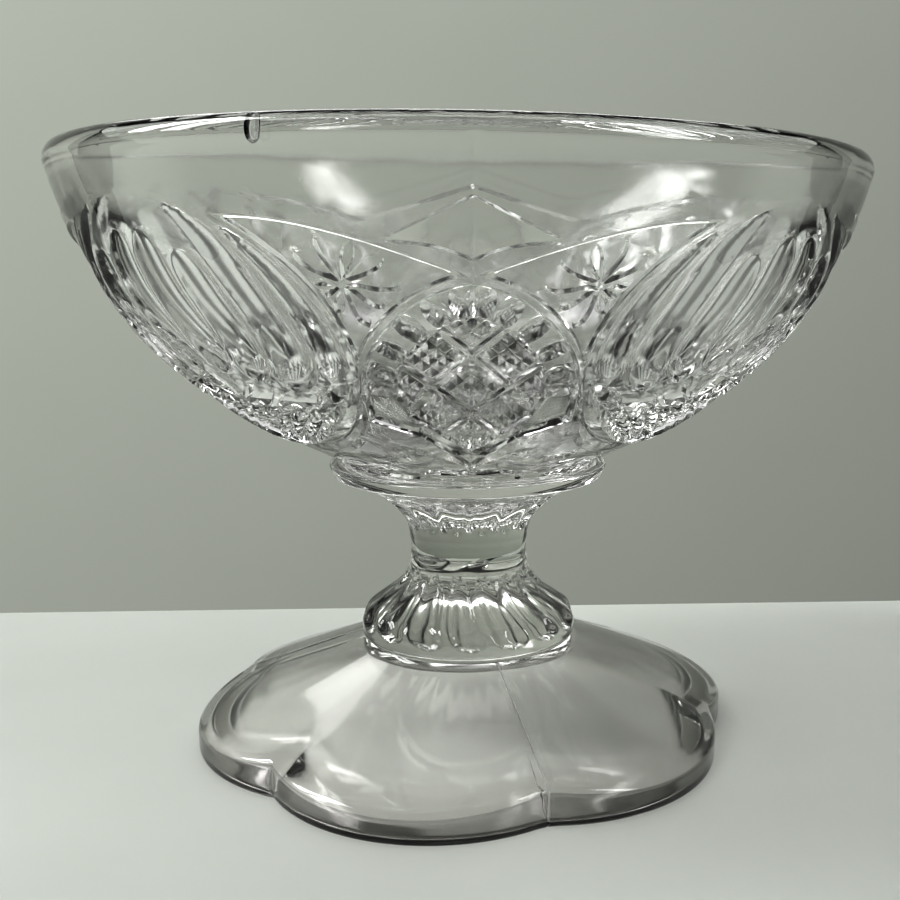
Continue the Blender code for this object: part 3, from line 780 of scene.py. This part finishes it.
def addBubble(bm):
    # closed hollow in the glass, so its faces look inwards
    turn = math.radians(bubble["turn"])
    middle = placed(bowl["rimRadius"] - bowl["rimWall"] / 2, bubble["turn"], bubble["height"])
    size = Matrix.Diagonal([half * mm for half in bubble["half"]]).to_4x4()
    where = Matrix.Translation(middle) @ Matrix.Rotation(turn, 4, "Z") @ size
    made = bmesh.ops.create_icosphere(bm, subdivisions=bubble["subdivisions"], radius=1.0, matrix=where)
    faces = {face for vert in made["verts"] for face in vert.link_faces}
    for face in faces:
        face.smooth = True
    bmesh.ops.reverse_faces(bm, faces=list(faces))


# small ledge under the bowl, down to the joint with the stem
ledge = {"start": (16.9, 37.3), "hollow": (17.2, 37.2), "edge": (18.7, 37.1), "lip": 0.5, "lipLean": 0.1,
         "foot": (17.9, upperJoint), "heel": (0.2, 0.4), "heelRound": 0.1, "rows": (5, 4, 3)}


def ledgeProfile():
    wide, level = ledge["edge"]
    inner = (wide - ledge["lip"], level)
    under = (wide - ledge["lipLean"], level - ledge["lip"])
    shoulder = bend(ledge["start"], ledge["hollow"], inner, ledge["rows"][0])
    lip = bend(inner, ledge["edge"], under, ledge["rows"][1])
    wide, low = ledge["foot"]
    aside, above = ledge["heel"]
    corner = (wide + ledge["heelRound"], low + ledge["heelRound"])
    heel = bend((wide + aside, low + above), corner, ledge["foot"], ledge["rows"][2])
    return [bowl["waist"]] + shoulder + lip[1:] + heel + [(0.0, upperJoint)]


def makeBowl(materials):
    bm = bmesh.new()
    row = turned(bm, rimAndInside(), bowl["columns"])
    for face in bm.faces:
        if min(vert[row] for vert in face.verts) >= bowl["rimRows"]:
            face.material_index = insideSlot
    turned(bm, ledgeProfile(), bowl["columns"])
    pressed = pressedWall()
    bm.from_mesh(pressed)
    bpy.data.meshes.remove(pressed)
    return finishedGlass(bm, "bowlGlass", materials, (upperJoint,), addBubble)


# the stem: a panelled cone under the bowl, a plain neck and a fluted collar
stem = {
    "flutes": 16, "columns": 256,
    "top": (17.9, upperJoint), "neckTop": (8.4, 28.7), "neckFoot": (8.0, 23.6),
    "coneHollow": 1.2, "neckHollow": 0.25,
    "flareBend": ((8.2, 21.3), (10.3, 19.5)), "shoulder": ((13.5, 17.2), (14.55, 16.3), (14.6, 15.2)),
    "collarFoot": (14.6, 13.5), "joint": (14.0, lowerJoint),
    # hollows, between lower and upper ends that are rounded over the caps' lengths
    "panel": {"depth": 0.75, "ends": (28.4, 34.4), "caps": (1.6, 1.6), "ridge": 0.16},
    "flute": {"depth": 0.85, "ends": (14.9, 22.6), "caps": (1.0, 2.4), "ridge": 0.2},
    "twist": 12.0, "heel": 0.3,
    "coneRows": 30, "neckRows": 12, "flareRows": 18, "slopeRows": 12, "shoulderRows": 12, "edgeRows": 6,
    "heelRows": 5,
}


def stemProfile():
    cone = arcBetween(stem["top"], stem["neckTop"], stem["coneHollow"], stem["coneRows"])
    neck = arcBetween(stem["neckTop"], stem["neckFoot"], stem["neckHollow"], stem["neckRows"])
    flare = bend(stem["neckFoot"], *stem["flareBend"], stem["flareRows"])
    start, rows = Vector(stem["shoulder"][0]), stem["slopeRows"]
    slope = [flare[-1].lerp(start, step / rows) for step in range(1, rows)]
    shoulder = bend(*stem["shoulder"], stem["shoulderRows"])
    wide, low = stem["collarFoot"]
    low += stem["heel"]
    high, rows = shoulder[-1].y, stem["edgeRows"]
    edge = [(wide, high + (low - high) * step / rows) for step in range(1, rows)]
    heel = bend((wide, low), stem["collarFoot"], stem["joint"], stem["heelRows"])
    line = cone + neck[1:] + flare[1:] + slope + shoulder + edge + heel
    return [(0.0, upperJoint)] + line + [(0.0, lowerJoint)]


def hollowDepth(hollow, share, height):
    # 0 on the ridges and past the round ends; the share runs from 0 to 1 between two ridges
    low, high = hollow["ends"]
    narrowing = 1.0
    for distance, cap in zip((height - low, high - height), hollow["caps"]):
        left = min(1.0, max(0.0, 1 - distance / cap))
        narrowing *= math.sqrt(1 - left * left)
    aside = abs(2 * share - 1) / (1 - hollow["ridge"])
    rounded = narrowing * max(0.0, 1 - (aside / max(narrowing, tiny)) ** 2)
    return hollow["depth"] * rounded


def makeStem(materials):
    bm = bmesh.new()
    profile = stemProfile()
    row = turned(bm, profile, stem["columns"])
    bmesh.ops.remove_doubles(bm, verts=bm.verts[:], dist=weld)
    low, high = stem["flute"]["ends"]
    for vert in bm.verts:
        radius, height = profile[vert[row]]
        if radius == 0.0:
            continue
        turn = math.degrees(math.atan2(vert.co.x, -vert.co.y))
        share = turn / 360 * stem["flutes"] % 1.0
        for hollow in (stem["panel"], stem["flute"]):
            radius -= hollowDepth(hollow, share, height)
        if lowerJoint + tiny < height < high:
            turn += stem["twist"] * min(1.0, (high - height) / (high - low))
        vert.co = placed(radius, turn, height)
    return finishedGlass(bm, "stemGlass", materials, (upperJoint, lowerJoint))


# the foot: a hollow cone with six lobes
foot = {
    "lobes": 6, "turn": 15.0, "lobeReach": 36.5, "notchDepth": 3.1,
    "edgeHeight": 3.6, "seat": (13.4, 12.8), "joint": (14.0, lowerJoint),
    "jointGap": 0.3, "round": 1.3, "roundDrop": 1.0, "heel": 0.9,
    "ring": 2.8, "ringRound": 0.5, "ringSlant": 3.0, "slantRound": (1.4, 2.0),
    "seams": 3, "seamRise": 0.05, "seamWallRise": 0.25, "seamTurn": 0.25,
    "thickness": 2.9, "crownRadius": 9.0, "crownHeight": 10.7, "crownFlat": 0.75,
    "columns": 288, "topRows": 20, "roundRows": 12, "wallRows": 4, "heelRows": 6, "ringRows": 4,
    "slantRows": 10, "hollowRows": 26, "crownRows": 10,
    "edgeStart": 8,             # row of the round from which the edge's painted shade runs
}


def lobeReach(turn):
    half = math.pi / foot["lobes"]
    notch = foot["lobeReach"] - foot["notchDepth"]
    rise = foot["lobeReach"] - notch * math.cos(half)
    chord = notch * math.sin(half)
    radius = (chord * chord + rise * rise) / (2 * rise)
    centre = foot["lobeReach"] - radius
    lobe = 360 / foot["lobes"]
    angle = math.radians((turn - foot["turn"]) % lobe - lobe / 2)
    return centre * math.cos(angle) + math.sqrt(radius * radius - (centre * math.sin(angle)) ** 2)


def footSection(reach):
    seatRadius, seatHeight = foot["seat"]
    slope = (seatHeight - foot["edgeHeight"]) / (foot["lobeReach"] - seatRadius)

    def topAt(radius):
        return seatHeight - slope * (radius - seatRadius)

    inner = foot["joint"][0] + foot["jointGap"]
    outer = reach - foot["round"]
    section = [(0.0, lowerJoint), foot["joint"]]
    for step in range(foot["topRows"]):
        radius = inner + (outer - inner) * step / foot["topRows"]
        section.append((radius, topAt(radius)))
    edge = topAt(reach)
    height = edge - foot["roundDrop"]
    section += bend((outer, topAt(outer)), (reach, edge), (reach, height), foot["roundRows"])
    heel = foot["heel"]
    for step in range(1, foot["wallRows"]):
        section.append((reach, height + (heel - height) * step / foot["wallRows"]))
    section += bend((reach, heel), (reach, 0.0), (reach - heel, 0.0), foot["heelRows"])
    # hollow parallel to the cone's top, with a blunt crown, inside a ring that follows the lobes
    ringIn = reach - foot["ring"]
    start = ringIn - foot["ringSlant"]
    level = topAt(start) - foot["thickness"]
    steep = level / foot["ringSlant"]
    ease = foot["ringRound"]
    section += bend((ringIn + ease, 0.0), (ringIn, 0.0), (ringIn - ease, ease * steep), foot["ringRows"])
    before, after = foot["slantRound"]
    inside = start - after
    section += bend((start + before, level - before * steep), (start, level),
                    (inside, level + after * slope), foot["slantRows"])
    crown = foot["crownRadius"]
    for step in range(1, foot["hollowRows"]):
        radius = inside + (crown - inside) * step / foot["hollowRows"]
        section.append((radius, topAt(radius) - foot["thickness"]))
    edge = (crown, topAt(crown) - foot["thickness"])
    high = foot["crownHeight"]
    section += bend(edge, (crown * foot["crownFlat"], high), (0.0, high), foot["crownRows"])
    return section


def makeFoot(materials):
    bm = bmesh.new()
    row = turned(bm, footSection(foot["lobeReach"]), foot["columns"])
    bmesh.ops.remove_doubles(bm, verts=bm.verts[:], dist=weld)
    step = 360 / foot["columns"]
    sections = [footSection(lobeReach(step * column)) for column in range(foot["columns"])]
    top = 2                                 # the first two rows are the joint's
    edge = top + foot["topRows"] + foot["edgeStart"]
    heel = top + foot["topRows"] + foot["roundRows"] + foot["wallRows"]
    hollow = heel + foot["heelRows"] + 1
    seamVerts = set()
    seamColumn = round(foot["turn"] / step)
    seamGap = foot["columns"] // foot["seams"]
    for vert in bm.verts:
        if math.hypot(vert.co.x, vert.co.y) < tiny * mm:
            continue
        turn = math.degrees(math.atan2(vert.co.x, -vert.co.y))
        column = round(turn / step) % foot["columns"]
        radius, height = sections[column][vert[row]]
        beside = (column - seamColumn + seamGap / 2) % seamGap - seamGap / 2
        if beside == 0 and top <= vert[row] < heel:
            seamVerts.add(vert)
            radius += foot["seamRise"] if vert[row] < edge else foot["seamWallRise"]
            height += foot["seamRise"]
        elif abs(beside) == 1:
            turn += beside * (foot["seamTurn"] - step)
        vert.co = placed(radius, turn, height)
    for face in bm.faces:
        lowest = min(vert[row] for vert in face.verts)
        if lowest >= hollow:
            face.material_index = insideSlot
        elif lowest >= edge:
            face.material_index = edgeSlot
        if not seamVerts.isdisjoint(face.verts):
            face.material_index = seamSlot
    return finishedGlass(bm, "footGlass", materials, (lowerJoint,))


# glass: clear and fire polished, with faint ripples and smears; tints run up the piece, in millimetres, and
# on the stem and foot the tints are painted shade
glass = {
    "body": {"IOR": 1.52, "Transmission Weight": 1.0},
    "smears": {"Scale": 60.0, "Detail": 3.0}, "smearSpan": (0.45, 0.8),
    "waves": {"Scale": 140.0, "Detail": 1.0}, "ripple": {"Strength": 0.1, "Distance": 0.0004},
    # roughness beside smears and in them
    "outside": (0.0, 0.05), "footTop": (0.06, 0.14), "footSeam": (0.45, 0.6),
    "inside": (0.11, 0.15),     # the plunger's side is less smooth, which softens what shows through
}


def startMaterial(name):
    material = bpy.data.materials.new(name)
    material.use_nodes = True
    return material, material.node_tree.nodes["Principled BSDF"]


def setInputs(node, values):
    for socket, value in values.items():
        node.inputs[socket].default_value = value


def addNode(tree, kind, source=None, socket="Vector", values=None):
    node = tree.nodes.new("ShaderNode" + kind)
    setInputs(node, values or {})
    if source is not None:
        tree.links.new(source, node.inputs[socket])
    return node


def clearGlass(name, tints, smears=glass["outside"]):
    material, shader = startMaterial(name)
    tree = material.node_tree
    setInputs(shader, glass["body"])
    place = addNode(tree, "TexCoord").outputs["Object"]
    cloud = addNode(tree, "TexNoise", place, values=glass["smears"])
    parts = addNode(tree, "SeparateXYZ", place)
    lowest, highest = tints[0][0], tints[-1][0]
    span = {"From Min": lowest * mm, "From Max": highest * mm}
    rise = addNode(tree, "MapRange", parts.outputs["Z"], "Value", span)
    colour = addNode(tree, "ValToRGB", rise.outputs["Result"], "Fac")
    stops = colour.color_ramp.elements
    while len(stops) < len(tints):
        stops.new(0.5)                      # moved to its place below
    for stop, (height, tint) in zip(stops, tints):
        stop.position = (height - lowest) / (highest - lowest)
        stop.color = (*tint, 1.0)
    tree.links.new(colour.outputs["Color"], shader.inputs["Base Color"])
    span = dict(zip(("From Min", "From Max", "To Min", "To Max"), glass["smearSpan"] + smears))
    smear = addNode(tree, "MapRange", cloud.outputs["Fac"], "Value", span)
    tree.links.new(smear.outputs["Result"], shader.inputs["Roughness"])
    waves = addNode(tree, "TexNoise", place, values=glass["waves"])
    bump = addNode(tree, "Bump", waves.outputs["Fac"], "Height", glass["ripple"])
    tree.links.new(bump.outputs["Normal"], shader.inputs["Normal"])
    return material


bowlTints = ((37.0, (0.95, 0.945, 0.935)), (45.0, (0.99, 0.992, 0.985)), (76.0, (0.99, 0.992, 0.985)))
# painted shade: the stem is tinted much darker than clear glass, darkest at the neck, standing in for the
# dark room that the thick glass shows
stemShadeTints = ((13.0, (0.76, 0.76, 0.745)), (24.0, (0.68, 0.70, 0.66)), (36.0, (0.78, 0.775, 0.76)))
# painted shade: the foot's glass is tinted much darker than clear glass, standing in for the shadow under
# the foot, which casts none
footShadeTints = ((2.0, (0.55, 0.54, 0.53)), (4.2, (0.66, 0.655, 0.645)))
# painted shade: the foot's edge is tinted dark, nearly black at the heel as a painted shadow where the foot
# meets the table
edgeShadeTints = ((0.3, (0.012, 0.011, 0.011)), (1.1, (0.1, 0.095, 0.092)), (3.2, (0.3, 0.29, 0.285)))
joint, jointShader = startMaterial("fusedJoint")
setInputs(jointShader, {"Alpha": 0.0})      # nothing shows inside the glass where members were joined hot
bowlInside = clearGlass("bowlInside", bowlTints, glass["inside"])
bowlGlass = makeBowl((clearGlass("bowlGlass", bowlTints), joint, bowlInside))
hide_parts("bowl")
stemGlass = makeStem((clearGlass("stemGlass", stemShadeTints), joint))
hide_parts("stem")
footInside = clearGlass("footInside", footShadeTints, glass["inside"])
footEdge = clearGlass("footEdge", edgeShadeTints)
footSeam = clearGlass("footSeam", footShadeTints, glass["footSeam"])
footTop = clearGlass("footGlass", footShadeTints, glass["footTop"])
footGlass = makeFoot((footTop, joint, footInside, footEdge, footSeam))
footGlass.visible_shadow = False        # clear glass lets the light through; the dark foot tint paints in the shade under it instead
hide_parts("foot")

# stage, in metres: a white table and a grey wall behind it, the wall glowing with painted light
stage = {
    "sheetHalf": 1.2, "sheetEdges": ((-1.2, 0.0), (0.0518, 0.0)),       # front and back, (y, z)
    "sheetWhite": ((0.67, 0.695, 0.655), (0.705, 0.73, 0.69)), "sheetGrain": {"Scale": 40.0, "Detail": 4.0},
    "wallHalf": 0.95, "wallEdges": ((0.55, -0.4), (0.55, 0.6)),         # foot and top
    "wallGrey": ((0.302, 0.317, 0.283), (0.316, 0.331, 0.297)), "wallGrain": {"Scale": 12.0, "Detail": 4.0},
    "wallDark": (0.05, 0.05, 0.05, 1.0),    # under the painted glow
    "wallGlowFall": (("X", 1.22, 0.8), ("Z", 0.77, 1.23)), "glowFallHalf": 0.4,     # painted light across and up, brighter to the left and to the top
    "matt": {"Roughness": 0.8, "Specular IOR Level": 0.2},
}


def plain(name, colours, grains):
    material, shader = startMaterial(name)
    tree = material.node_tree
    setInputs(shader, stage["matt"])
    place = addNode(tree, "TexCoord").outputs["Object"]
    grain = addNode(tree, "TexNoise", place, values=grains)
    colour = addNode(tree, "ValToRGB", grain.outputs["Fac"], "Fac")
    for stop, shade in zip(colour.color_ramp.elements, colours):
        stop.color = (*shade, 1.0)
    tree.links.new(colour.outputs["Color"], shader.inputs["Base Color"])
    return material


def paintedGlow(material):
    # the wall glows though it is no lamp: painted light, stronger to the upper left and darker to the lower
    # right
    tree = material.node_tree
    shader = tree.nodes["Principled BSDF"]
    link = shader.inputs["Base Color"].links[0]
    colour = link.from_socket
    tree.links.remove(link)
    parts = addNode(tree, "SeparateXYZ", addNode(tree, "TexCoord").outputs["Object"])
    share = addNode(tree, "Math")
    share.operation = "MULTIPLY"
    half = stage["glowFallHalf"]
    for index, (axis, low, high) in enumerate(stage["wallGlowFall"]):
        span = {"From Min": -half, "From Max": half, "To Min": low, "To Max": high}
        fall = addNode(tree, "MapRange", parts.outputs[axis], "Value", span)
        tree.links.new(fall.outputs["Result"], share.inputs[index])
    scaled = addNode(tree, "VectorMath")
    scaled.operation = "SCALE"
    tree.links.new(colour, scaled.inputs[0])
    tree.links.new(share.outputs["Value"], scaled.inputs["Scale"])
    tree.links.new(scaled.outputs["Vector"], shader.inputs["Emission Color"])
    setInputs(shader, {"Base Color": stage["wallDark"], "Emission Strength": 1.0})
    return material


def addStage(name, half, edges, material):
    bm = bmesh.new()
    first, second = edges
    corners = ((-half, *first), (half, *first), (half, *second), (-half, *second))
    bm.faces.new([bm.verts.new(corner) for corner in corners])
    piece = asObject(bm, name, (material,))
    print(name, "placed")


sheetWhite = plain("sheetWhite", stage["sheetWhite"], stage["sheetGrain"])
addStage("tableSheet", stage["sheetHalf"], stage["sheetEdges"], sheetWhite)
wallGrey = paintedGlow(plain("wallGrey", stage["wallGrey"], stage["wallGrain"]))
addStage("backWall", stage["wallHalf"], stage["wallEdges"], wallGrey)

# windows and fill light, in metres and watts
lights = {
    "windowLeft": {"place": (-0.9, 0.08, 0.8), "aim": (0, 0, 0.05), "size": (0.16, 0.7), "power": 4.4},
    "windowLeftPane": {"place": (-0.9, -0.13, 0.8), "aim": (0, 0, 0.05), "size": (0.15, 0.7), "power": 3.0},
    "windowRight": {"place": (0.77, -0.5, 0.8), "aim": (0, 0, 0.05), "size": (0.18, 0.7), "power": 2.8},
    "skylight": {"place": (-0.03, 0.5, 0.44), "aim": (0, 0, 0.05), "size": (0.6, 0.28), "power": 1.1},
    "ceiling": {"place": (0.1, -0.1, 1.5), "aim": (0, 0, 0), "size": (2.0, 1.8), "power": 6.6},
}
for name, facts in lights.items():
    data = bpy.data.lights.new(name, "AREA")
    data.shape = "RECTANGLE"
    data.size, data.size_y = facts["size"]
    data.energy = facts["power"]
    lamp = bpy.data.objects.new(name, data)
    lamp.location = facts["place"]
    way = Vector(facts["aim"]) - Vector(facts["place"])
    lamp.rotation_euler = way.to_track_quat("-Z", "Y").to_euler()
    bpy.context.scene.collection.objects.link(lamp)
bpy.data.objects["ceiling"].visible_glossy = False      # it fills, and isn't mirrored in the glass
print("lights", len(lights))

# dark room; the low gamma gives the contrast that a photograph has
room = {"grey": (0.015, 0.015, 0.0145, 1.0), "exposure": 0.4, "gamma": 0.72}
world = bpy.data.worlds.new("room")
world.use_nodes = True
setInputs(world.node_tree.nodes["Background"], {"Color": room["grey"]})
bpy.context.scene.world = world
tone = bpy.context.scene.view_settings
tone.view_transform = "Standard"
tone.exposure = room["exposure"]
tone.gamma = room["gamma"]

# camera, in metres and degrees: a little lower than the rim and tipped down
camera = {"place": (-0.00139, -0.15015, 0.06326), "pitch": -9.42, "roll": 0.54, "yaw": -4.38,
          "lens": 44.7, "shift": -0.103, "nearest": 0.01}
data = bpy.data.cameras.new("camera")
data.lens = camera["lens"]
data.shift_x = camera["shift"]
data.clip_start = camera["nearest"]
view = bpy.data.objects.new("camera", data)
turnTo = Matrix.Rotation(math.radians(camera["yaw"]), 4, "Z")
turnTo = turnTo @ Matrix.Rotation(math.radians(90 + camera["pitch"]), 4, "X")
view.matrix_world = (Matrix.Translation(camera["place"]) @ turnTo
                     @ Matrix.Rotation(math.radians(camera["roll"]), 4, "Z"))
bpy.context.scene.collection.objects.link(view)
bpy.context.scene.camera = view
